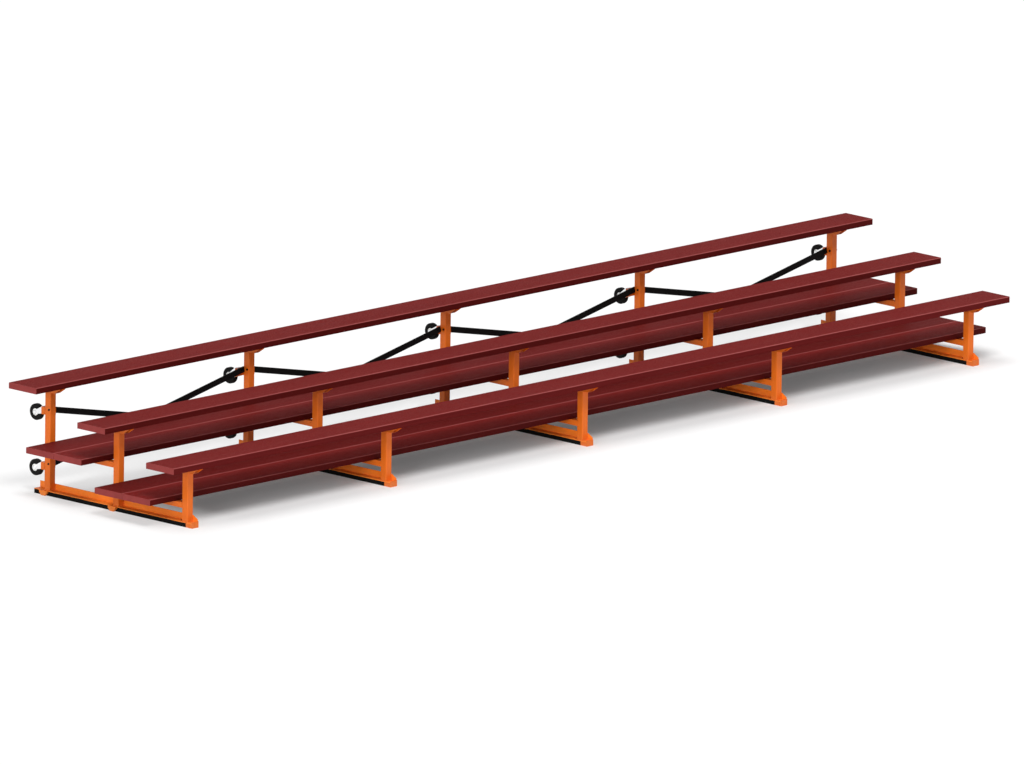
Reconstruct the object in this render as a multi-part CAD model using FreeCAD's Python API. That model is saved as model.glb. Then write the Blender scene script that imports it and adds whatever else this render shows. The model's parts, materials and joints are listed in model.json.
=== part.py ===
import FreeCAD, Part
import math
import os

from FreeCAD import Vector

# Portable three-row bleacher. Millimetres, +Z up, the front faces -Y, the rows run along X.
# The origin lies on the floor under the middle of the overall box.

# Rows
LENGTH = 7315.2          # 24 ft over the plank end caps
TREAD = 593.0            # front-to-back step from one row to the next
RISE = 152.4             # 6 in step up from one row to the next
SEAT_1_TOP = 413.0
FOOT_DROP = 226.0        # top of a foot plank below the seat in front of it
FOOT_SET_BACK = 200.0    # front edge of a foot pair behind the front edge of that seat
ROW_COUNT = 3

# Extruded planks, open underneath, with two bolt slots each
PLANK_WIDTH = 236.5
PLANK_THICK = 38.1
PLANK_SKIN = 2.6
PLANK_WALL = 2.2
PLANK_LIP = 12.0
PLANK_EDGE_RADIUS = 4.0
FOOT_PLANK_GAP = 2.5
SLOT_HALF = 10.0         # half the room between the two webs of a bolt slot
SLOT_OPENING = 11.0
SLOT_FOOT = 6.0          # flange of each web outside the slot
SLOT_AT = (PLANK_WIDTH * 0.25, PLANK_WIDTH * 0.75)
GROOVE_COUNT = 20
GROOVE_WIDTH = 2.4
GROOVE_DEPTH = 0.7
CAP_THICK = 2.0

# Frames
FRAME_COUNT = 5
FRAME_PITCH = 1708.15
TUBE = 48.0              # square post tube
TUBE_WALL = 3.0
TUBE_CORNER = 4.5
ANGLE_THICK = 4.8
BASE_LEG = 44.0          # upright leg of the base angle
BASE_FLANGE = 55.0
BASE_AHEAD = 62.0        # base angle ahead of the front post centre
BASE_BEHIND = 107.0      # base angle behind the rear post centre
BASE_CHAMFER = (38.0, 22.0)
SUPPORT_LEG = 34.0       # upright leg of a foot support angle
BRACKET_HEIGHT = 38.0    # seat bracket tube
BRACKET_INSET = 14.0     # its ends inside the plank edges
BRACKET_CHAMFER = (46.0, 31.0)
RUNNER_THICK = 26.0
RUNNER_WIDTH = 46.0
SOLE_LENGTH = 50.0       # front foot under the base angle
TOE_THICK = 5.0
TOE_HEIGHT = 38.0
FOOT_TOP = 64.0          # tapered foot beside the runner, along Y
FOOT_BOTTOM = 34.0
FOOT_OUT = 16.0
FOOT_BACK = 17.0         # its middle behind the post centre

# Casters, set out from the rear post centre
WHEEL_RADIUS = 50.8
WHEEL_BACK = 115.0       # wheel centre behind the rear post centre
TYRE_WIDTH = 32.0
TYRE_SHOULDER = 6.0
HUB_RADIUS = 22.0
HUB_WIDTH = 30.0
BOSS_RADIUS = 11.0
BOSS_WIDTH = 35.0
HUB_POCKET = (12.0, 18.5, 5.0)
AXLE_RADIUS = 6.0
RUNNING_FIT = 0.05
FORK_INSIDE = 18.0       # half the gap between the fork legs
FORK_THICK = 3.0
FORK_END_RADIUS = 12.0
RIGID_FRAMES = (0, 2, 4)
SWIVEL_FRAMES = (1, 3)
LEVELS = ("upper", "lower")
RIGID_WHEEL_Z = {"upper": 500.5, "lower": 156.0}
RIGID_DROP = 22.0        # wheel centre below the fork plate centre
RIGID_BRACKET = (31.0, 46.0)
SWIVEL_SIDE = -45.0      # swivel axis beside the post centre
SWIVEL_WHEEL_Z = {"upper": 481.5, "lower": 137.0}
TRAIL = 35.0
SWIVEL_BRACKET = (20.0, 46.0, 102.0)
SWIVEL_PLATE = (66.0, 50.0)
PLATE_THICK = 4.0
RACE_RADIUS = 21.0
RACE_THICK = 4.0
SWIVEL_GAP = 0.3
KINGPIN_HEAD = (10.0, 2.7)
SWIVEL_BOLT_AT = (25.0, 12.0)
RIGID_BOLT_AT = 14.0

# Cross braces between the rear posts
BRACE_WIDTH = 38.0
BRACE_THICK = 5.0
BRACE_LAYER_Y = {"falling": 3.5, "rising": 10.5}
BRACE_ENDS_Z = {"falling": (522.0, 196.0), "rising": (190.0, 531.0)}  # left end, right end
BRACE_BOLT_OUT = 26.0    # brace bolt from the face of the post
BRACE_END = 18.0         # bar beyond its bolt
CLIP_THICK = 4.0
CLIP_HEIGHT = 40.0       # leg on the post
CLIP_TAB = 26.0          # height of the leg behind the brace
CLIP_REACH = 44.0
CLIP_FRONT = 19.0
CLIP_BOLT_Y = -12.5
CLIP_BOLT_Z = {"upper": 535.0, "lower": 198.0}

# Fasteners: shank radius, across flats, head height, nut height
M10 = (5.0, 16.0, 6.0, 7.0)
M8 = (4.0, 12.0, 5.0, 6.0)
HOLE_FIT = 0.25
LOW_HEAD = (6.0, 2.5)
FOOT_BOLT_OUT = 4.0      # foot plank bolts beside the post centre

# Places that follow from the dimensions
depth_front = (ROW_COUNT - 1) * TREAD + PLANK_WIDTH / 2
depth_rear = WHEEL_BACK + WHEEL_RADIUS
rear_y = (depth_front - depth_rear) / 2
row_y = [rear_y - (ROW_COUNT - 1 - row) * TREAD for row in range(ROW_COUNT)]
seat_top = [SEAT_1_TOP + row * RISE for row in range(ROW_COUNT)]
seat_front = [y - PLANK_WIDTH / 2 for y in row_y]
foot_top = [seat_top[row] - FOOT_DROP for row in range(ROW_COUNT - 1)]
foot_front = [seat_front[row] + FOOT_SET_BACK for row in range(ROW_COUNT - 1)]
frame_x = [(k - (FRAME_COUNT - 1) / 2) * FRAME_PITCH for k in range(FRAME_COUNT)]
half_tube = TUBE / 2
base_x0 = half_tube + ANGLE_THICK - BASE_FLANGE
base_x1 = half_tube + ANGLE_THICK
base_y0 = row_y[0] - BASE_AHEAD
base_y1 = row_y[-1] + BASE_BEHIND
post_foot_z = RUNNER_THICK + ANGLE_THICK
AXIS_X = Vector(1, 0, 0)
AXIS_Y = Vector(0, 1, 0)
AXIS_Z = Vector(0, 0, 1)


def box(x0, x1, y0, y1, z0, z1):
    return Part.makeBox(x1 - x0, y1 - y0, z1 - z0, Vector(x0, y0, z0))


def rod(x, y, z, axis, radius, length):
    return Part.makeCylinder(radius, length, Vector(x, y, z), axis)


def prism_x(points, x0, x1):
    """Plate parallel to the YZ plane from its outline."""
    corners = [Vector(x0, y, z) for y, z in points]
    return Part.Face(Part.makePolygon(corners + corners[:1])).extrude(Vector(x1 - x0, 0, 0))


def prism_y(points, y0, y1):
    """Plate parallel to the XZ plane from its outline."""
    corners = [Vector(x, y0, z) for x, z in points]
    return Part.Face(Part.makePolygon(corners + corners[:1])).extrude(Vector(0, y1 - y0, 0))


def hexagon(x, y, z, axis, across, height):
    """Hexagonal prism along an axis, with two flats square to the next axis round."""
    side = AXIS_Y if axis is AXIS_X else AXIS_X
    other = axis.cross(side)
    reach = across / math.sqrt(3)
    corners = []
    for step in range(6):
        turn = math.radians(60 * step + 30)
        corners.append(Vector(x, y, z) + side * (reach * math.cos(turn)) + other * (reach * math.sin(turn)))
    return Part.Face(Part.makePolygon(corners + corners[:1])).extrude(axis * height)


def moved(shape, x, y, z):
    copy = shape.copy()
    copy.translate(Vector(x, y, z))
    return copy


def joined(shapes):
    return shapes[0].multiFuse(shapes[1:]).removeSplitter()


def bored(shape, tools):
    return shape.cut(Part.makeCompound(tools)) if tools else shape


def save(name, shapes):
    """Write one node, a single solid or a group of separate solids."""
    solids = []
    for shape in shapes:
        solids += shape.Solids
    shape = solids[0] if len(solids) == 1 else Part.makeCompound(solids)
    shape.exportStep("parts/%s.step" % name)
    print(name, len(solids), "solids", "valid" if shape.isValid() else "NOT VALID")


def rounded_top(shape, length):
    """Round the two long top edges of a plank or cap."""
    edges = []
    for edge in shape.Edges:
        centre = edge.CenterOfMass
        outer = abs(centre.y) < 0.01 or abs(centre.y - PLANK_WIDTH) < 0.01
        if outer and abs(centre.z) < 0.01 and abs(edge.Length - length) < 0.01:
            edges.append(edge)
    return shape.makeFillet(PLANK_EDGE_RADIUS, edges)


def make_plank():
    """Plank with its front edge on y = 0 and its top on z = 0."""
    half = LENGTH / 2 - CAP_THICK
    floor = -PLANK_THICK
    lip_top = floor + PLANK_WALL

    def strip(y0, y1, z0, z1):
        return box(-half, half, y0, y1, z0, z1)

    strips = [strip(0, PLANK_WIDTH, -PLANK_SKIN, 0)]
    for near, far in ((0, 1), (PLANK_WIDTH, -1)):
        wall = sorted((near, near + far * PLANK_WALL))
        lip = sorted((near, near + far * PLANK_LIP))
        strips.append(strip(wall[0], wall[1], floor, 0))
        strips.append(strip(lip[0], lip[1], floor, lip_top))
    for centre in SLOT_AT:
        for far in (-1, 1):
            web = sorted((centre + far * SLOT_HALF, centre + far * (SLOT_HALF + PLANK_WALL)))
            foot = SLOT_HALF + PLANK_WALL + SLOT_FOOT
            lip = sorted((centre + far * SLOT_OPENING / 2, centre + far * foot))
            strips.append(strip(web[0], web[1], floor, 0))
            strips.append(strip(lip[0], lip[1], floor, lip_top))
    pitch = PLANK_WIDTH / (GROOVE_COUNT + 1)
    grooves = []
    for number in range(GROOVE_COUNT):
        y = pitch * (number + 1)
        grooves.append(strip(y - GROOVE_WIDTH / 2, y + GROOVE_WIDTH / 2, -GROOVE_DEPTH, 1))
    return rounded_top(joined(strips), 2 * half).cut(Part.makeCompound(grooves))


def make_cap():
    return rounded_top(box(0, CAP_THICK, 0, PLANK_WIDTH, -PLANK_THICK, 0), CAP_THICK)


def plank_places():
    """Node name, front edge and top of each plank."""
    places = []
    for row in range(ROW_COUNT):
        places.append(("seat_plank_row_%d" % (row + 1), seat_front[row], seat_top[row]))
    for row in range(ROW_COUNT - 1):
        rear = foot_front[row] + PLANK_WIDTH + FOOT_PLANK_GAP
        places.append(("foot_plank_row_%d_front" % (row + 2), foot_front[row], foot_top[row]))
        places.append(("foot_plank_row_%d_rear" % (row + 2), rear, foot_top[row]))
    return places


def round_corners(shape, along):
    """Round the edges of a square tube's blank that run along one axis."""
    edges = []
    for edge in shape.Edges:
        start, end = (vertex.Point for vertex in edge.Vertexes)
        if abs(abs((end - start).normalize().dot(along)) - 1) < 1e-6:
            edges.append(edge)
    return shape.makeFillet(TUBE_CORNER, edges)


def make_post(x, row):
    """Square tube from the base angle to the bracket tube under its seat."""
    y = row_y[row]
    top = seat_top[row] - PLANK_THICK - BRACKET_HEIGHT
    inner = half_tube - TUBE_WALL
    post = box(x - half_tube, x + half_tube, y - half_tube, y + half_tube, post_foot_z, top)
    post = round_corners(post, AXIS_Z)
    post = post.cut(box(x - inner, x + inner, y - inner, y + inner, post_foot_z - 1, top + 1))
    if row < ROW_COUNT - 1:
        return post
    hole = M8[0] + HOLE_FIT
    return bored(post, [
        rod(x - TUBE, y + CLIP_BOLT_Y, z, AXIS_X, hole, 2 * TUBE) for z in CLIP_BOLT_Z.values()
    ])


def make_seat_bracket(x, row):
    """Flat tube across the top of a post, with both ends cut back below and holes for the plank bolts."""
    y0 = seat_front[row] + BRACKET_INSET
    y1 = seat_front[row] + PLANK_WIDTH - BRACKET_INSET
    top = seat_top[row] - PLANK_THICK
    low = top - BRACKET_HEIGHT
    inner = half_tube - TUBE_WALL
    tube = round_corners(box(x - half_tube, x + half_tube, y0, y1, low, top), AXIS_Y)
    run, lift = BRACKET_CHAMFER
    cuts = [box(x - inner, x + inner, y0 - 1, y1 + 1, low + TUBE_WALL, top - TUBE_WALL)]
    for end, inward in ((y0, 1), (y1, -1)):
        corner = [
            (end - inward, low - 1),
            (end + inward * run * (1 + 1 / lift), low - 1),
            (end - inward, low + lift * (1 + 1 / run)),
        ]
        cuts.append(prism_x(corner, x - TUBE, x + TUBE))
    for slot in SLOT_AT:
        hole = M10[0] + HOLE_FIT
        cuts.append(rod(x, seat_front[row] + slot, top - TUBE_WALL - 1, AXIS_Z, hole, TUBE_WALL + 2))
    return bored(tube, cuts)


def make_foot_support(x, row):
    """Angle between two posts: its upright leg in line with their -X sides, its flange under the planks."""
    y0 = row_y[row] + half_tube
    y1 = row_y[row + 1] - half_tube
    top = foot_top[row] - PLANK_THICK
    leg = box(x - half_tube, x - half_tube + ANGLE_THICK, y0, y1, top - SUPPORT_LEG, top)
    flange = box(x - half_tube, x + half_tube, y0, y1, top - ANGLE_THICK, top)
    holes = []
    for plank in range(2):
        front = foot_front[row] + plank * (PLANK_WIDTH + FOOT_PLANK_GAP)
        for slot in SLOT_AT:
            holes.append(rod(x + FOOT_BOLT_OUT, front + slot, top - 10, AXIS_Z, M10[0] + HOLE_FIT, 20))
    return bored(joined([leg, flange]), holes)


def make_base_angle(x):
    low = RUNNER_THICK
    top = RUNNER_THICK + BASE_LEG
    run, fall = BASE_CHAMFER
    outline = [(base_y0, low), (base_y1, low), (base_y1, top), (base_y0 + run, top), (base_y0, top - fall)]
    leg = prism_x(outline, x + half_tube, x + base_x1)
    flange = box(x + base_x0, x + base_x1, base_y0, base_y1, low, low + ANGLE_THICK)
    return joined([leg, flange])


def make_front_foot(x):
    """Foot under the front end of the base angle, with an upturned toe across it."""
    sole = box(x + base_x0, x + base_x1, base_y0, base_y0 + SOLE_LENGTH, 0, RUNNER_THICK)
    toe = box(x + base_x0, x + base_x1, base_y0 - TOE_THICK, base_y0, 0, TOE_HEIGHT)
    return joined([sole, toe])


def make_inner_foot(x, row):
    """Tapered foot on the edge of the base angle's flange, beside the runner."""
    y, top = row_y[row] + FOOT_BACK, post_foot_z
    wide, narrow = FOOT_TOP / 2, FOOT_BOTTOM / 2
    low = top - RUNNER_THICK * 0.5
    outline = [
        (y - narrow, 0), (y + narrow, 0),
        (y + wide, low), (y + wide, top), (y - wide, top), (y - wide, low),
    ]
    return prism_x(outline, x + base_x0 - FOOT_OUT, x + base_x0)


def make_runner(x):
    """Rubber strip under the base angle behind the front foot."""
    x0 = x + base_x0
    return box(x0, x0 + RUNNER_WIDTH, base_y0 + SOLE_LENGTH, base_y1, 0, RUNNER_THICK)


def hollow(x0, x1, y0, y1, z0, z1, along):
    """Short rectangular tube, open at both ends along X or Z."""
    wall = TUBE_WALL
    if along == "z":
        core = box(x0 + wall, x1 - wall, y0 + wall, y1 - wall, z0 - 1, z1 + 1)
    else:
        core = box(x0 - 1, x1 + 1, y0 + wall, y1 - wall, z0 + wall, z1 - wall)
    return box(x0, x1, y0, y1, z0, z1).cut(core)


def rigid_bolt_places(x, z):
    return [(x, z - RIGID_BOLT_AT), (x, z + RIGID_BOLT_AT)]


def swivel_bolt_places(x, z):
    side, rise = SWIVEL_BOLT_AT
    return [(x + i * side, z + k * rise) for i in (-1, 1) for k in (-1, 1)]


def caster_bolt(x, z, head_y):
    """Low-headed bolt through a caster plate and the wall of its bracket, and the nut inside."""
    grip = PLATE_THICK + TUBE_WALL
    radius, across, _, nut_height = M8
    tail = 2.0
    bolt = joined([
        rod(x, head_y, z, AXIS_Y, LOW_HEAD[0], LOW_HEAD[1]),
        rod(x, head_y - grip - nut_height - tail, z, AXIS_Y, radius, grip + nut_height + tail),
    ])
    nut = hexagon(x, head_y - grip - nut_height, z, AXIS_Y, across, nut_height)
    return [bolt, nut.cut(rod(x, head_y - grip - nut_height, z, AXIS_Y, radius, nut_height))]


def plate_holes(places, y0, y1):
    return [rod(x, y0 - 1, z, AXIS_Y, M8[0] + HOLE_FIT, y1 - y0 + 2) for x, z in places]


def fork_leg(x, side, root_y, plate_z, wheel_z, above, below):
    """Tapered leg from the fork plate to a round end at the axle."""
    wheel_y = rear_y + WHEEL_BACK
    x0, x1 = sorted((x + side * FORK_INSIDE, x + side * (FORK_INSIDE + FORK_THICK)))
    outline = [
        (root_y, plate_z + above),
        (root_y, plate_z - below),
        (wheel_y, wheel_z - FORK_END_RADIUS),
        (wheel_y, wheel_z + FORK_END_RADIUS),
    ]
    end = rod(x0, wheel_y, wheel_z, AXIS_X, FORK_END_RADIUS, FORK_THICK)
    leg = joined([prism_x(outline, x0, x1), end])
    return leg.cut(rod(x0 - 1, wheel_y, wheel_z, AXIS_X, AXLE_RADIUS, FORK_THICK + 2))


def axle(x, wheel_z):
    """Axle bolt through both fork legs, with its nut."""
    y = rear_y + WHEEL_BACK
    face = FORK_INSIDE + FORK_THICK
    across, height = 18.0, 6.0
    bolt = joined([
        hexagon(x - face - height, y, wheel_z, AXIS_X, across, height),
        rod(x - face, y, wheel_z, AXIS_X, AXLE_RADIUS, 2 * face + height + 1),
    ])
    nut = hexagon(x + face, y, wheel_z, AXIS_X, across, height)
    return [bolt, nut.cut(rod(x + face, y, wheel_z, AXIS_X, AXLE_RADIUS, height))]


def make_hub(x, z):
    y = rear_y + WHEEL_BACK
    inner, outer, depth = HUB_POCKET
    hub = joined([
        rod(x - HUB_WIDTH / 2, y, z, AXIS_X, HUB_RADIUS, HUB_WIDTH),
        rod(x - BOSS_WIDTH / 2, y, z, AXIS_X, BOSS_RADIUS, BOSS_WIDTH),
    ])
    cuts = [rod(x - BOSS_WIDTH, y, z, AXIS_X, AXLE_RADIUS + RUNNING_FIT, 2 * BOSS_WIDTH)]
    for start in (x - HUB_WIDTH / 2, x + HUB_WIDTH / 2 - depth):
        cuts.append(rod(start, y, z, AXIS_X, outer, depth).cut(rod(start, y, z, AXIS_X, inner, depth)))
    return bored(hub, cuts)


def make_tyre(x, z):
    y = rear_y + WHEEL_BACK
    tyre = rod(x - TYRE_WIDTH / 2, y, z, AXIS_X, WHEEL_RADIUS, TYRE_WIDTH)
    tyre = tyre.makeFillet(TYRE_SHOULDER, [edge for edge in tyre.Edges if len(edge.Vertexes) == 1])
    return tyre.cut(rod(x - TYRE_WIDTH, y, z, AXIS_X, HUB_RADIUS, 2 * TYRE_WIDTH))


def clip_screw(x, z, y0, y1):
    """Screw along Y from its head at the front face y0 into a tapped clip that ends at y1."""
    radius, across, head, _ = M10
    return joined([
        hexagon(x, y0 - head, z, AXIS_Y, across, head),
        rod(x, y0, z, AXIS_Y, radius, y1 - y0),
    ])


def crossing_bolt(x, z, y0, y1):
    """Bolt along Y from its head at the front face y0 to a nut behind y1."""
    radius, across, head, nut_height = M10
    bolt = joined([
        hexagon(x, y0 - head, z, AXIS_Y, across, head),
        rod(x, y0, z, AXIS_Y, radius, y1 - y0 + nut_height + 1),
    ])
    nut = hexagon(x, y1, z, AXIS_Y, across, nut_height)
    return [bolt, nut.cut(rod(x, y1, z, AXIS_Y, radius, nut_height))]


def crossing(falling, rising):
    """Point where two bars with the same end positions along X cross."""
    (xa, fall_a), (xb, fall_b) = falling
    (_, rise_a), (_, rise_b) = rising
    share = (fall_a - rise_a) / ((fall_a - rise_a) + (rise_b - fall_b))
    return xa + share * (xb - xa), fall_a + share * (fall_b - fall_a)


def make_brace(ends, middle, layer):
    """Flat bar between two end bolts, drilled at both ends and where it crosses its partner."""
    (xa, za), (xb, zb) = ends
    span = math.hypot(xb - xa, zb - za)
    ux, uz = (xb - xa) / span, (zb - za) / span
    half = BRACE_WIDTH / 2
    near, far = -BRACE_END, span + BRACE_END
    corners = []
    for along, across in ((near, -half), (far, -half), (far, half), (near, half)):
        corners.append((xa + ux * along - uz * across, za + uz * along + ux * across))
    y0 = rear_y + BRACE_LAYER_Y[layer]
    bar = prism_y(corners, y0, y0 + BRACE_THICK)
    hole = M10[0] + HOLE_FIT
    return bored(bar, [
        rod(x, y0 - 1, z, AXIS_Y, hole, BRACE_THICK + 2) for x, z in (ends[0], ends[1], middle)
    ])


def make_clip(x, side, z, bolt_z, layer):
    """Angle clip on one side of a rear post: one leg on the post, one behind the brace."""
    face = x + side * half_tube
    back_y0 = rear_y + BRACE_LAYER_Y[layer] + BRACE_THICK
    back_y1 = back_y0 + CLIP_THICK
    leg, tab = CLIP_HEIGHT / 2, CLIP_TAB / 2
    near = sorted((face, face + side * CLIP_THICK))
    reach = sorted((face, face + side * CLIP_REACH))
    clip = joined([
        box(near[0], near[1], rear_y - CLIP_FRONT, back_y1, z - leg, z + leg),
        box(reach[0], reach[1], back_y0, back_y1, z - tab, z + tab),
    ])
    return bored(clip, [
        rod(x - TUBE, rear_y + CLIP_BOLT_Y, bolt_z, AXIS_X, M8[0] + HOLE_FIT, 2 * TUBE),
        rod(face + side * BRACE_BOLT_OUT, back_y0 - 1, z, AXIS_Y, M10[0] + HOLE_FIT, CLIP_THICK + 2),
    ])


def clip_bolt(x, z, left, right):
    """Bolt along X through a rear post and the clips on its sides."""
    radius, across, head, nut_height = M8
    y = rear_y + CLIP_BOLT_Y
    x0 = x - half_tube - left
    x1 = x + half_tube + right
    bolt = joined([
        hexagon(x0 - head, y, z, AXIS_X, across, head),
        rod(x0, y, z, AXIS_X, radius, x1 - x0 + nut_height),
    ])
    nut = hexagon(x1, y, z, AXIS_X, across, nut_height)
    return [bolt, nut.cut(rod(x1, y, z, AXIS_X, radius, nut_height))]


def plank_fastening(x, y, top, wall):
    """Square-headed bolt in a plank slot, and its nut under the wall that carries the plank."""
    radius, across, head, nut_height = M10
    half = SLOT_HALF - 1.5
    seat = top + PLANK_WALL
    nut_top = top - wall
    tail = nut_top - nut_height - 2
    bolt = joined([
        box(x - half, x + half, y - half, y + half, seat, seat + head),
        rod(x, y, tail, AXIS_Z, radius, seat - tail),
    ])
    nut = hexagon(x, y, nut_top - nut_height, AXIS_Z, across, nut_height)
    return bolt, nut.cut(rod(x, y, nut_top - nut_height, AXIS_Z, radius, nut_height))


def build_planks():
    plank = make_plank()
    cap = make_cap()
    caps, bolts, nuts = [], [], []
    for name, front, top in plank_places():
        save(name, [moved(plank, 0, front, top)])
        caps.append(moved(cap, -LENGTH / 2, front, top))
        caps.append(moved(cap, LENGTH / 2 - CAP_THICK, front, top))
        out, wall = (0.0, TUBE_WALL) if name.startswith("seat") else (FOOT_BOLT_OUT, ANGLE_THICK)
        for x in frame_x:
            for slot in SLOT_AT:
                bolt, nut = plank_fastening(x + out, front + slot, top - PLANK_THICK, wall)
                bolts.append(bolt)
                nuts.append(nut)
    save("plank_end_caps", caps)
    save("plank_bolts", bolts)
    save("plank_nuts", nuts)


def build_frames():
    save("base_angles", [make_base_angle(x) for x in frame_x])
    for row, name in enumerate(("front_posts", "middle_posts", "rear_posts")):
        save(name, [make_post(x, row) for x in frame_x])
    save("seat_brackets", [make_seat_bracket(x, row) for x in frame_x for row in range(ROW_COUNT)])
    save("lower_foot_supports", [make_foot_support(x, 0) for x in frame_x])
    save("upper_foot_supports", [make_foot_support(x, 1) for x in frame_x])
    save("front_feet", [make_front_foot(x) for x in frame_x])
    save("inner_feet", [make_inner_foot(x, row) for x in frame_x for row in (1, 2)])
    save("runners", [make_runner(x) for x in frame_x])


def build_braces():
    clips, bolts, clip_bolts = [], [], []
    out = half_tube + BRACE_BOLT_OUT
    levels = {"falling": ("upper", "lower"), "rising": ("lower", "upper")}
    for bay in range(FRAME_COUNT - 1):
        xa, xb = frame_x[bay], frame_x[bay + 1]
        ends = {}
        for layer, (za, zb) in BRACE_ENDS_Z.items():
            ends[layer] = [(xa + out, za), (xb - out, zb)]
        middle = crossing(ends["falling"], ends["rising"])
        bars = []
        for layer, (start, finish) in levels.items():
            bars.append(make_brace(ends[layer], middle, layer))
            za, zb = BRACE_ENDS_Z[layer]
            clips.append(make_clip(xa, 1, za, CLIP_BOLT_Z[start], layer))
            clips.append(make_clip(xb, -1, zb, CLIP_BOLT_Z[finish], layer))
            front = rear_y + BRACE_LAYER_Y[layer]
            for x, z in ends[layer]:
                bolts.append(clip_screw(x, z, front, front + BRACE_THICK + CLIP_THICK))
        save("cross_brace_bay_%d" % (bay + 1), bars)
        x, z = middle
        front = rear_y + BRACE_LAYER_Y["falling"]
        between = front + BRACE_THICK
        back = rear_y + BRACE_LAYER_Y["rising"]
        bolts += crossing_bolt(x, z, front, back + BRACE_THICK)
        washer = rod(x, between, z, AXIS_Y, 10.0, back - between)
        bolts.append(washer.cut(rod(x, between, z, AXIS_Y, M10[0], back - between)))
    for k, x in enumerate(frame_x):
        left = CLIP_THICK if k > 0 else 0
        right = CLIP_THICK if k < FRAME_COUNT - 1 else 0
        for level in LEVELS:
            clip_bolts += clip_bolt(x, CLIP_BOLT_Z[level], left, right)
    save("brace_clips", clips)
    save("brace_bolts", bolts)
    save("clip_bolts", clip_bolts)


def build_rigid_casters():
    """Fixed casters on the outer and middle frames; only their wheels turn."""
    brackets, forks, axles, bolts = [], [], [], []
    depth, height = RIGID_BRACKET
    y0 = rear_y + half_tube
    y1 = y0 + depth
    y2 = y1 + PLATE_THICK
    for k in RIGID_FRAMES:
        x = frame_x[k]
        for level in LEVELS:
            wheel_z = RIGID_WHEEL_Z[level]
            z = wheel_z + RIGID_DROP
            places = rigid_bolt_places(x, z)
            low, high = z - height / 2, z + height / 2
            bracket = hollow(x - half_tube, x + half_tube, y0, y1, low, high, "z")
            brackets.append(bored(bracket, plate_holes(places, y1 - TUBE_WALL, y1)))
            plate = box(x - FORK_INSIDE - FORK_THICK, x + FORK_INSIDE + FORK_THICK, y1, y2, low, high)
            forks.append(bored(plate, plate_holes(places, y1, y2)))
            forks += [fork_leg(x, side, y2, z, wheel_z, 20.0, 22.0) for side in (-1, 1)]
            axles += axle(x, wheel_z)
            for bolt_x, bolt_z in places:
                bolts += caster_bolt(bolt_x, bolt_z, y2)
            save("hub_%d_%s" % (k + 1, level), [make_hub(x, wheel_z)])
            save("tyre_%d_%s" % (k + 1, level), [make_tyre(x, wheel_z)])
    save("rigid_caster_brackets", brackets)
    save("rigid_caster_forks", forks)
    save("rigid_caster_axles", axles)
    return bolts


def build_swivel_casters():
    """Swivel casters on the second and fourth frames, hanging straight down."""
    brackets, plates, kingpins, bolts = [], [], [], []
    depth, height, width = SWIVEL_BRACKET
    y0 = rear_y + half_tube
    y1 = y0 + depth
    y2 = y1 + PLATE_THICK
    race_y = y2 + RACE_THICK + SWIVEL_GAP
    yoke_y = race_y + RACE_THICK
    leg_y = yoke_y + FORK_THICK
    head_y = leg_y + SWIVEL_GAP
    half_wide, half_high = (size / 2 for size in SWIVEL_PLATE)
    for k in SWIVEL_FRAMES:
        x = frame_x[k] + SWIVEL_SIDE
        right = frame_x[k] + half_tube
        for level in LEVELS:
            wheel_z = SWIVEL_WHEEL_Z[level]
            z = wheel_z + TRAIL
            places = swivel_bolt_places(x, z)
            bracket = hollow(right - width, right, y0, y1, z - height / 2, z + height / 2, "x")
            brackets.append(bored(bracket, plate_holes(places, y1 - TUBE_WALL, y1)))
            plate = joined([
                box(x - half_wide, x + half_wide, y1, y2, z - half_high, z + half_high),
                rod(x, y2, z, AXIS_Y, RACE_RADIUS, RACE_THICK),
            ])
            pin_hole = [rod(x, y1 - 1, z, AXIS_Y, AXLE_RADIUS, RACE_THICK + PLATE_THICK + 2)]
            plates.append(bored(plate, pin_hole + plate_holes(places, y1, y2)))
            kingpins.append(joined([
                rod(x, y1, z, AXIS_Y, AXLE_RADIUS, head_y - y1),
                rod(x, head_y, z, AXIS_Y, KINGPIN_HEAD[0], KINGPIN_HEAD[1]),
            ]))
            for bolt_x, bolt_z in places:
                bolts += caster_bolt(bolt_x, bolt_z, y2)
            reach = FORK_INSIDE + FORK_THICK
            yoke = joined([
                rod(x, race_y, z, AXIS_Y, RACE_RADIUS, RACE_THICK),
                box(x - reach, x + reach, yoke_y, leg_y, z - 34.0, z + 24.0),
            ])
            bore = AXLE_RADIUS + RUNNING_FIT
            yoke = yoke.cut(rod(x, race_y - 1, z, AXIS_Y, bore, RACE_THICK + FORK_THICK + 2))
            legs = [fork_leg(x, side, leg_y, z, wheel_z, 24.0, 34.0) for side in (-1, 1)]
            save("swivel_fork_%d_%s" % (k + 1, level), [yoke] + legs + axle(x, wheel_z))
            save("hub_%d_%s" % (k + 1, level), [make_hub(x, wheel_z)])
            save("tyre_%d_%s" % (k + 1, level), [make_tyre(x, wheel_z)])
    save("swivel_caster_brackets", brackets)
    save("swivel_caster_plates", plates)
    save("swivel_caster_kingpins", kingpins)
    return bolts


os.makedirs("parts", exist_ok=True)
build_planks()
build_frames()
build_braces()
save("caster_bolts", build_rigid_casters() + build_swivel_casters())
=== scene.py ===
import json
import math

import bmesh
import bpy
from mathutils import Matrix, Vector


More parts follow.
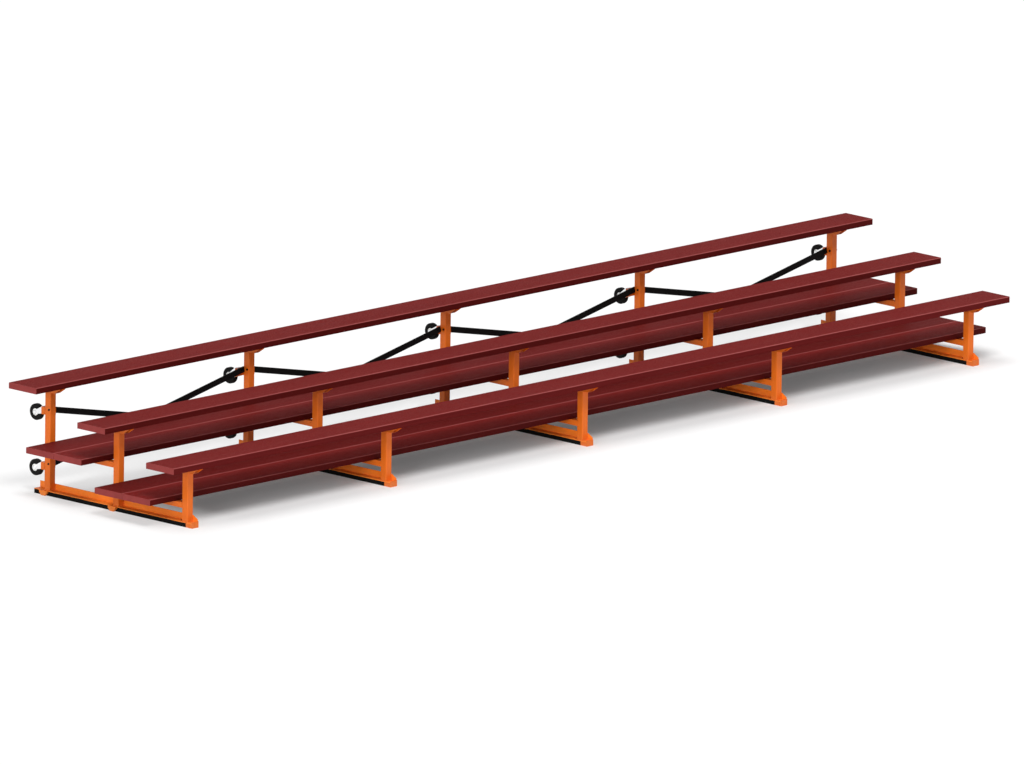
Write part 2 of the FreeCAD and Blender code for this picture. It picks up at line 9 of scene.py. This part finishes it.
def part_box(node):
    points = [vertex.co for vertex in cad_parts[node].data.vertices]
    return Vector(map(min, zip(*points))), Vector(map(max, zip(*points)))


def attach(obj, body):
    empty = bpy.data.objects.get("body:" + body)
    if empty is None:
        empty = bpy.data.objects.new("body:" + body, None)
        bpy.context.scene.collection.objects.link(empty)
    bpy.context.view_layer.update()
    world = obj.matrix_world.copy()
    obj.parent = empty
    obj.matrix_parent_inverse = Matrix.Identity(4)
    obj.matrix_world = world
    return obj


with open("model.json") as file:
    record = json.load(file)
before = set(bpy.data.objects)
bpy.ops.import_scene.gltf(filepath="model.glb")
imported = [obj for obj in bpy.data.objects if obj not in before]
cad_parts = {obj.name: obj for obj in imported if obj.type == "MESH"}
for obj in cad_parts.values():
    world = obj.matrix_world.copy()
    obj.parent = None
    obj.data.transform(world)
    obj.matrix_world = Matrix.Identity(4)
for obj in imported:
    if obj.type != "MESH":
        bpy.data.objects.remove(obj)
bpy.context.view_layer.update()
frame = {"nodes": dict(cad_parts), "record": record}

nodes = frame["nodes"]
node_slots = {row["node"]: row["material_slot"] for row in frame["record"]["subparts"]}
scene = bpy.context.scene


# Measures of the five frames in metres, from the boxes of their CAD nodes

FRAME_COUNT = 5

post_boxes = [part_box(node) for node in ("front_posts", "middle_posts", "rear_posts")]
support_boxes = [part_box(node) for node in ("lower_foot_supports", "upper_foot_supports")]
post_low, post_high = post_boxes[0]
base_low, base_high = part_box("base_angles")

TUBE_HALF = (post_high.y - post_low.y) / 2
FIRST_X, LAST_X = post_low.x + TUBE_HALF, post_high.x - TUBE_HALF
FRAME_X = [FIRST_X + (LAST_X - FIRST_X) * k / (FRAME_COUNT - 1) for k in range(FRAME_COUNT)]
ROW_Y = [(low.y + high.y) / 2 for low, high in post_boxes]
POST_TOP = [high.z for low, high in post_boxes]
BASE_FLANGE_TOP = post_low.z
BASE_LEG_TOP = base_high.z
ANGLE_THICK = BASE_FLANGE_TOP - base_low.z


# Colours, linear. Pairs give the deep and the pale shade of one coat.

WHITE = (1.0, 1.0, 1.0)
PLANK_RED = ((0.155, 0.0112, 0.0104), (0.200, 0.0165, 0.0152))
PLANK_PATCH = (0.220, 0.0215, 0.0200)
# Painted highlight colour for the front top edges of the planks
PLANK_EDGE_HIGHLIGHT = (0.36, 0.090, 0.086)
# Cap red, lighter than the plank red as painted light on the end faces
CAP_RED_LIT = ((0.208, 0.029, 0.027), (0.248, 0.036, 0.034))
FRAME_ORANGE = ((0.70, 0.130, 0.006), (0.76, 0.150, 0.009))
# Base orange, lighter than the frame orange as painted light on the base under the planks
BASE_ORANGE_LIT = ((0.91, 0.208, 0.013), (0.95, 0.236, 0.018))
FLOOR_DUST = (0.60, 0.33, 0.19)
BRACE_BLACK = ((0.0030, 0.0030, 0.0032), (0.0060, 0.0058, 0.0057))
RUNNER_BLACK = ((0.003, 0.003, 0.003), (0.007, 0.0066, 0.0062))
TYRE_BLACK = ((0.004, 0.004, 0.004), (0.008, 0.0076, 0.0072))
ZINC_BRIGHT = ((0.84, 0.85, 0.87), (0.95, 0.95, 0.94))
ZINC_DULL = (0.78, 0.77, 0.75)
HUB_WHITE = ((0.86, 0.86, 0.84), (0.93, 0.93, 0.91))
FLOOR_BOUNCE = (0.92, 0.92, 0.92)

# Painted light and shade on each plank: the share that makes its coat lighter or darker (foot planks
# lighter, the rear ones under the seats darker), and the share its upright faces keep, which paints shade
# on them
PLANK_PAINTED_SHADES = {
    "seat_plank_row_1": (0.97, (0.58, 0.54, 0.58)),
    "seat_plank_row_2": (0.97, (0.43, 0.37, 0.36)),
    "seat_plank_row_3": (0.97, (0.43, 0.37, 0.36)),
    "foot_plank_row_2_front": (1.08, (0.44, 0.40, 0.40)),
    "foot_plank_row_2_rear": (0.76, (0.55, 0.50, 0.50)),
    "foot_plank_row_3_front": (1.06, (0.44, 0.40, 0.40)),
    "foot_plank_row_3_rear": (0.94, (0.50, 0.44, 0.44)),
}


# Materials

NOISE_SPAN = (0.30, 0.70)         # where most values of a noise lie
NOISE_ROUGHNESS = 0.55
UPRIGHT_TO_LEVEL = (0.15, 0.85)   # Z of the normal, from upright to level faces
FALLING = (1.0, 0.0)
SPECK_SHADE = 0.76                # specks in the orange coat, as a share of its deep shade

# Places of the sockets on a node that mixes colours
MIX_SHARE, MIX_FIRST, MIX_SECOND = 0, 6, 7
MIX_RESULT = 2


def shaded(colour, share):
    """The colour made darker or lighter by a share."""
    return tuple(share * part for part in colour)


class Nodes:
    """A node tree, with short calls for the kinds of node that are used here."""

    def __init__(self, tree):
        self.tree = tree

    def put(self, value, socket):
        """Links an output to a socket, or writes a number, vector or colour there."""
        if isinstance(value, bpy.types.NodeSocket):
            self.tree.links.new(value, socket)
        elif socket.type == "RGBA":
            socket.default_value = (*value, 1.0)
        else:
            socket.default_value = value

    def new(self, kind, **inputs):
        """Adds a node with its inputs; an underscore stands for a space in their names."""
        node = self.tree.nodes.new("ShaderNode" + kind)
        for name, value in inputs.items():
            self.put(value, node.inputs[name.replace("_", " ")])
        return node

    def math(self, operation, first, second):
        node = self.new("Math")
        node.operation = operation
        self.put(first, node.inputs[0])
        self.put(second, node.inputs[1])
        return node.outputs["Value"]

    def fit(self, value, span, target=(0.0, 1.0)):
        """Maps the span of a value to the target and holds it there."""
        node = self.new("MapRange", Value=value, From_Min=span[0], From_Max=span[1],
                        To_Min=target[0], To_Max=target[1])
        return node.outputs["Result"]

    def mix(self, share, first, second, kind="MIX"):
        """Mixes two colours."""
        node = self.new("Mix")
        node.data_type = "RGBA"
        node.blend_type = kind
        for value, place in ((share, MIX_SHARE), (first, MIX_FIRST), (second, MIX_SECOND)):
            self.put(value, node.inputs[place])
        return node.outputs[MIX_RESULT]

    def axis(self, vector, name):
        return self.new("SeparateXYZ", Vector=vector).outputs[name]

    def seen_directly(self):
        """1 for rays from the camera, from gloss and through glass, 0 for diffuse light."""
        path = self.new("LightPath").outputs
        total = path["Is Camera Ray"]
        for name in ("Is Glossy Ray", "Is Transmission Ray"):
            total = self.math("MAXIMUM", total, path[name])
        return total

    def show(self, output, share, first, second):
        """Sends a mix of two shaders to the output node."""
        both = self.new("MixShader", Fac=share)
        self.put(first, both.inputs[1])
        self.put(second, both.inputs[2])
        self.new(output, Surface=both.outputs["Shader"])


class Finish(Nodes):
    """A material with one main shader, and textures in object coordinates."""

    def __init__(self, name, **sockets):
        self.material = bpy.data.materials.new(name)
        self.material.use_nodes = True
        super().__init__(self.material.node_tree)
        self.shader = self.tree.nodes["Principled BSDF"]
        self.coords = self.new("TexCoord").outputs
        for socket, value in sockets.items():
            self.shader.inputs[socket.replace("_", " ")].default_value = value

    def noise(self, scale, detail):
        """Noise between 0 and 1; three scale numbers stretch it along the axes."""
        vector = self.coords["Object"]
        if isinstance(scale, tuple):
            vector = self.new("Mapping", Vector=vector, Scale=scale).outputs["Vector"]
            scale = 1.0
        texture = self.new("TexNoise", Vector=vector, Scale=scale, Detail=detail, Roughness=NOISE_ROUGHNESS)
        return texture.outputs["Fac"]

    def cells(self, scale):
        """A value between 0 and 1 that is the same all over each cell."""
        texture = self.new("TexVoronoi", Vector=self.coords["Object"], Scale=scale)
        return self.new("SeparateColor", Color=texture.outputs["Color"]).outputs["Red"]

    def ramp(self, value, deep, pale, span=NOISE_SPAN):
        """Colour that goes from deep to pale over the span of a value."""
        node = self.new("ValToRGB", Fac=value)
        for mark, place, colour in zip(node.color_ramp.elements, span, (deep, pale)):
            mark.position = place
            mark.color = (*colour, 1.0)
        return node.outputs["Color"]

    def facing_up(self):
        """1 on faces that look up, 0 on upright ones."""
        normal = self.new("NewGeometry").outputs["Normal"]
        return self.fit(self.axis(normal, "Z"), UPRIGHT_TO_LEVEL)

    def colour(self, value):
        self.put(value, self.shader.inputs["Base Color"])

    def roughness(self, value, low, high):
        self.put(self.fit(value, NOISE_SPAN, (low, high)), self.shader.inputs["Roughness"])

    def bump(self, height, strength, distance):
        node = self.new("Bump", Height=height, Strength=strength, Distance=distance)
        self.put(node.outputs["Normal"], self.shader.inputs["Normal"])


def plank_coat_with_painted_light(name, shade, upright):
    """Dark red coat on an extrusion with drawn streaks, painted shade on the upright faces and a painted
    highlight along the front top edge.
    """
    f = Finish(name, Specular_IOR_Level=0.03)
    streaks = f.noise(scale=(1.2, 260.0, 60.0), detail=4.0)
    patches = f.noise(scale=(0.7, 5.0, 5.0), detail=3.0)
    coat = f.ramp(streaks, *(shaded(colour, shade) for colour in PLANK_RED))
    coat = f.mix(f.fit(patches, (0.35, 0.70), (0.0, 0.30)), coat, shaded(PLANK_PATCH, shade))
    # Painted shade: upright faces darker than level ones
    coat = f.mix(f.fit(f.facing_up(), (0.0, 1.0), FALLING), coat, upright, "MULTIPLY")
    # Painted highlight along the front top edge, stronger and weaker with the streaks
    front = f.fit(f.axis(f.coords["Generated"], "Y"), (0.014, 0.030), FALLING)
    crown = f.fit(f.axis(f.coords["Generated"], "Z"), (0.86, 0.95))
    highlight_strength = f.fit(streaks, (0.25, 0.6), (0.55, 0.95))
    painted_edge_highlight = f.math("MULTIPLY", f.math("MULTIPLY", front, crown), highlight_strength)
    f.colour(f.mix(painted_edge_highlight, coat, PLANK_EDGE_HIGHLIGHT))
    f.roughness(streaks, low=0.55, high=0.68)
    f.bump(streaks, strength=0.10, distance=0.0004)
    return f.material


def cap_finish():
    """Satin coat on the plates that close the planks, in a red lighter than the planks' that paints light
    on the end faces.
    """
    f = Finish("cap_finish", Specular_IOR_Level=0.15)
    grain = f.noise(scale=900.0, detail=2.0)
    cloud = f.noise(scale=14.0, detail=3.0)
    f.colour(f.ramp(cloud, *CAP_RED_LIT))
    f.roughness(cloud, low=0.44, high=0.56)
    f.bump(grain, strength=0.12, distance=0.0003)
    return f.material


def frame_paint(name, deep, pale):
    """Orange powder coat with a fine orange-peel surface, darker specks and some floor dust low down."""
    f = Finish(name, Specular_IOR_Level=0.25)
    peel = f.noise(scale=650.0, detail=2.0)
    cloud = f.noise(scale=6.0, detail=4.0)
    coat = f.ramp(cloud, deep, pale)
    specks = f.fit(f.noise(scale=160.0, detail=5.0), (0.66, 0.78), (0.0, 0.5))
    coat = f.mix(specks, coat, shaded(deep, SPECK_SHADE))
    low_down = f.fit(f.axis(f.coords["Object"], "Z"), (0.0, 0.06), (0.28, 0.0))
    dust = f.math("MULTIPLY", low_down, f.fit(f.noise(scale=40.0, detail=4.0), NOISE_SPAN))
    f.colour(f.mix(dust, coat, FLOOR_DUST))
    f.roughness(cloud, low=0.36, high=0.48)
    f.bump(peel, strength=0.10, distance=0.0005)
    return f.material


def brace_paint():
    """Black satin paint on flat bar."""
    f = Finish("brace_paint", Specular_IOR_Level=0.06)
    cloud = f.noise(scale=18.0, detail=4.0)
    f.colour(f.ramp(cloud, *BRACE_BLACK))
    f.roughness(cloud, low=0.42, high=0.55)
    f.bump(f.noise(scale=500.0, detail=2.0), strength=0.10, distance=0.0004)
    return f.material


def rubber(name, deep, pale, grain, strength, gloss):
    """Dull black rubber; grain is the scale of its surface and strength the depth."""
    f = Finish(name, Specular_IOR_Level=gloss)
    cloud = f.noise(scale=30.0, detail=4.0)
    f.colour(f.ramp(cloud, deep, pale))
    f.roughness(cloud, low=0.62, high=0.80)
    f.bump(f.noise(scale=grain, detail=3.0), strength, distance=0.0006)
    return f.material


def zinc():
    """Bright zinc with faint spangle."""
    f = Finish("zinc", Metallic=1.0)
    spangle = f.cells(scale=180.0)
    cloud = f.noise(scale=60.0, detail=3.0)
    plate = f.ramp(spangle, *ZINC_BRIGHT, span=(0.0, 1.0))
    f.colour(f.mix(f.fit(cloud, (0.45, 0.75), (0.0, 0.4)), plate, ZINC_DULL))
    f.roughness(cloud, low=0.30, high=0.46)
    f.bump(spangle, strength=0.05, distance=0.0003)
    return f.material


def hub_plastic():
    """Off-white moulded plastic."""
    f = Finish("hub_plastic", Specular_IOR_Level=0.40)
    cloud = f.noise(scale=45.0, detail=3.0)
    f.colour(f.ramp(cloud, *HUB_WHITE))
    f.roughness(cloud, low=0.38, high=0.50)
    f.bump(f.noise(scale=700.0, detail=2.0), strength=0.06, distance=0.0003)
    return f.material


# Nodes with a finish of their own, which paints light and shade: the planks, and the base angles and feet
# in a lighter orange; the others have that of their slot
lit_base_paint = frame_paint("lit_base_paint", *BASE_ORANGE_LIT)
finishes_with_painted_light = {node: plank_coat_with_painted_light(node + "_finish", *coat) for node, coat in PLANK_PAINTED_SHADES.items()}
finishes_with_painted_light |= {"base_angles": lit_base_paint, "inner_feet": lit_base_paint}

slot_finishes = {
    "cap_finish": cap_finish(),
    "frame_paint": frame_paint("frame_paint", *FRAME_ORANGE),
    "brace_paint": brace_paint(),
    "runner_rubber": rubber("runner_rubber", *RUNNER_BLACK, grain=260.0, strength=0.30, gloss=0.05),
    "zinc": zinc(),
    "hub_plastic": hub_plastic(),
    "tyre_rubber": rubber("tyre_rubber", *TYRE_BLACK, grain=420.0, strength=0.25, gloss=0.10),
}

for name, part in nodes.items():
    part.data.materials.clear()
    part.data.materials.append(finishes_with_painted_light.get(name) or slot_finishes[node_slots[name]])


# Weld beads along the seams of the frames

WELD_RADIUS = 0.0032   # metres
WELD_RIPPLE = 0.0030   # metres from one ripple to the next
WELD_SIDES = 8
FEWEST_STEPS = 6
TIP_SHARE = 0.45       # of the radius, at both tips
TIP_GROWTH = 6.0       # of the radius, over the length of a bead
RIPPLE_SHARE = 0.11    # of the radius
WANDER_SHARE = 0.05    # of the radius
WANDER_STEP = 2.3      # radians from step to step
PHASE_STEP = 0.7       # radians from bead to bead


def bead_radius(step, count, phase):
    """Radius at one step of a bead, which is rippled and gets thinner at both tips."""
    share = step / count
    taper = min(1.0, TIP_GROWTH * min(share, 1.0 - share) + TIP_SHARE)
    ripple = RIPPLE_SHARE * math.sin(math.pi * step + phase)
    wander = WANDER_SHARE * math.sin(WANDER_STEP * step)
    return WELD_RADIUS * taper * (1.0 + ripple + wander)


def add_bead(mesh, start, end, phase):
    """Closed bead along a straight seam."""
    start, end = Vector(start), Vector(end)
    run = end - start
    along = run.normalized()
    side = along.orthogonal().normalized()
    over = along.cross(side)
    count = max(FEWEST_STEPS, round(run.length / (WELD_RIPPLE / 2)))
    turns = [2 * math.pi * corner / WELD_SIDES for corner in range(WELD_SIDES)]
    rings = []
    for step in range(count + 1):
        centre = start + run * (step / count)
        radius = bead_radius(step, count, phase)
        points = (centre + side * (radius * math.cos(a)) + over * (radius * math.sin(a)) for a in turns)
        rings.append([mesh.verts.new(point) for point in points])
    for ring, following in zip(rings, rings[1:]):
        for corner in range(WELD_SIDES):
            after = (corner + 1) % WELD_SIDES
            mesh.faces.new((ring[corner], ring[after], following[after], following[corner]))
    mesh.faces.new(reversed(rings[0]))
    mesh.faces.new(rings[-1])


def weld_seams():
    """Start and end of every visible seam on the five frames."""
    t = TUBE_HALF
    foot = BASE_FLANGE_TOP
    for x in FRAME_X:
        for y, head in zip(ROW_Y, POST_TOP):
            yield (x - t, y - t, foot), (x - t, y + t, foot)
            yield (x - t, y - t, foot), (x + t, y - t, foot)
            yield (x - t, y + t, foot), (x + t, y + t, foot)
            yield (x + t, y - t, foot), (x + t, y - t, BASE_LEG_TOP)
            yield (x + t, y + t, foot), (x + t, y + t, BASE_LEG_TOP)
            yield (x - t, y - t, head), (x + t, y - t, head)
            yield (x - t, y + t, head), (x + t, y + t, head)
        inner = x - t + ANGLE_THICK
        for row, (low, high) in enumerate(support_boxes):
            under = high.z - ANGLE_THICK
            for y in (ROW_Y[row] + t, ROW_Y[row + 1] - t):
                yield (inner, y, low.z), (inner, y, under)
                yield (inner, y, under), (x + t, y, under)


def make_weld_beads():
    """All the beads as one piece."""
    mesh = bmesh.new()
    for number, (start, end) in enumerate(weld_seams()):
        add_bead(mesh, start, end, PHASE_STEP * number)
    bmesh.ops.recalc_face_normals(mesh, faces=mesh.faces)
    data = bpy.data.meshes.new("weld_beads")
    mesh.to_mesh(data)
    mesh.free()
    for face in data.polygons:
        face.use_smooth = True
    data.materials.append(slot_finishes["frame_paint"])
    piece = bpy.data.objects.new("weld_beads", data)
    scene.collection.objects.link(piece)
    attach(piece, "bleacher")


make_weld_beads()


# Floor, light and camera

FLOOR_HALF = 60.0

# Share of painted white light glowing in the floor, which lightens its shadow: low under the rows, higher
# behind them and past their left end.
# It rises from the middle row to the rear one, and over the left fade, in metres from the first frame.
SHADOW_LIFT = (0.105, 0.56)
LEFT_FADE = (0.45, -0.05)
LIFT_SPANS = {"Y": (ROW_Y[1], ROW_Y[2]), "X": tuple(FRAME_X[0] + reach for reach in LEFT_FADE)}

SKY_STRENGTH = 0.30
LAMPS = {
    "key": {"towards": (-0.36, -0.62, 1.0), "strength": 1.72, "spread": 18.0},
    "top": {"towards": (-0.15, 0.06, 1.0), "strength": 0.91, "spread": 36.0},
    "fill": {"towards": (-0.95, -0.38, 0.18), "strength": 1.35, "spread": 24.0},
}

# Camera angles in degrees, lengths in metres, focal length and width in pixels, sensor in millimetres
CAMERA_AZIMUTH = 45.604
CAMERA_PITCH = 12.3673
CAMERA_ROLL = 0.7201
CAMERA_DISTANCE = 208.7735
CAMERA_SHIFT = (-0.0097, -0.2812)
CAMERA_CLIP = (1.0, 1000.0)
FOCAL_PIXELS = 34000.0
IMAGE_WIDTH = 1024
SENSOR_WIDTH = 36.0


def add_floor():
    """Pale floor that shows white where the lamps reach it, and keeps the shadow lightened by a painted
    glow of white light.
    """
    mesh = bpy.data.meshes.new("studio_floor")
    corners = [(x * FLOOR_HALF, y * FLOOR_HALF, 0) for x, y in ((-1, -1), (1, -1), (1, 1), (-1, 1))]
    mesh.from_pydata(corners, [], [(0, 1, 2, 3)])
    material = bpy.data.materials.new("studio_floor")
    material.use_nodes = True
    n = Nodes(material.node_tree)
    n.tree.nodes.clear()
    seen = n.seen_directly()
    place = n.new("TexCoord").outputs["Object"]
    lifts = [n.fit(n.axis(place, axis), span, SHADOW_LIFT) for axis, span in LIFT_SPANS.items()]
    matte = n.new("BsdfDiffuse", Color=n.mix(seen, FLOOR_BOUNCE, WHITE))
    # Painted light: a white glow, seen directly, that lightens the floor's shadow more behind the rows and
    # past their left end
    glow = n.new("Emission", Color=WHITE, Strength=1.0)
    n.show("OutputMaterial", n.math("MULTIPLY", seen, n.math("MAXIMUM", *lifts)),
           matte.outputs["BSDF"], glow.outputs["Emission"])
    mesh.materials.append(material)
    floor = bpy.data.objects.new("studio_floor", mesh)
    scene.collection.objects.link(floor)


def add_world():
    """White background and a soft light from all sides."""
    world = bpy.data.worlds.new("studio")
    scene.world = world
    world.use_nodes = True
    n = Nodes(world.node_tree)
    n.tree.nodes.clear()
    soft = n.new("Background", Color=WHITE, Strength=SKY_STRENGTH)
    white = n.new("Background", Color=WHITE, Strength=1.0)
    n.show("OutputWorld", n.seen_directly(), soft.outputs["Background"], white.outputs["Background"])


def add_sun(name, towards, strength, spread):
    """Distant lamp; towards points from the object to the lamp, and spread is in degrees."""
    data = bpy.data.lights.new(name, "SUN")
    data.energy = strength
    data.angle = math.radians(spread)
    lamp = bpy.data.objects.new(name, data)
    lamp.rotation_mode = "QUATERNION"
    lamp.rotation_quaternion = Vector(towards).to_track_quat("Z", "Y")
    scene.collection.objects.link(lamp)


def add_camera():
    """Distant long-lens camera at the photograph's viewing angle."""
    azimuth, pitch, roll = (math.radians(angle) for angle in (CAMERA_AZIMUTH, CAMERA_PITCH, CAMERA_ROLL))
    level_reach = math.cos(pitch)
    ahead = Vector((math.sin(azimuth) * level_reach, math.cos(azimuth) * level_reach, -math.sin(pitch)))
    level = ahead.cross(Vector((0, 0, 1))).normalized()
    above = level.cross(ahead)
    right = level * math.cos(roll) + above * math.sin(roll)
    up = above * math.cos(roll) - level * math.sin(roll)
    place = ahead * -CAMERA_DISTANCE - right * CAMERA_SHIFT[0] - up * CAMERA_SHIFT[1]
    data = bpy.data.cameras.new("camera")
    data.sensor_width = SENSOR_WIDTH
    data.lens = FOCAL_PIXELS / IMAGE_WIDTH * SENSOR_WIDTH
    data.clip_start, data.clip_end = CAMERA_CLIP
    camera = bpy.data.objects.new("camera", data)
    turn = Matrix((right, up, -ahead)).transposed().to_4x4()
    camera.matrix_world = Matrix.Translation(place) @ turn
    scene.collection.objects.link(camera)
    scene.camera = camera


add_floor()
add_world()
for name, lamp in LAMPS.items():
    add_sun(name, **lamp)
add_camera()
scene.view_settings.view_transform = "Standard"
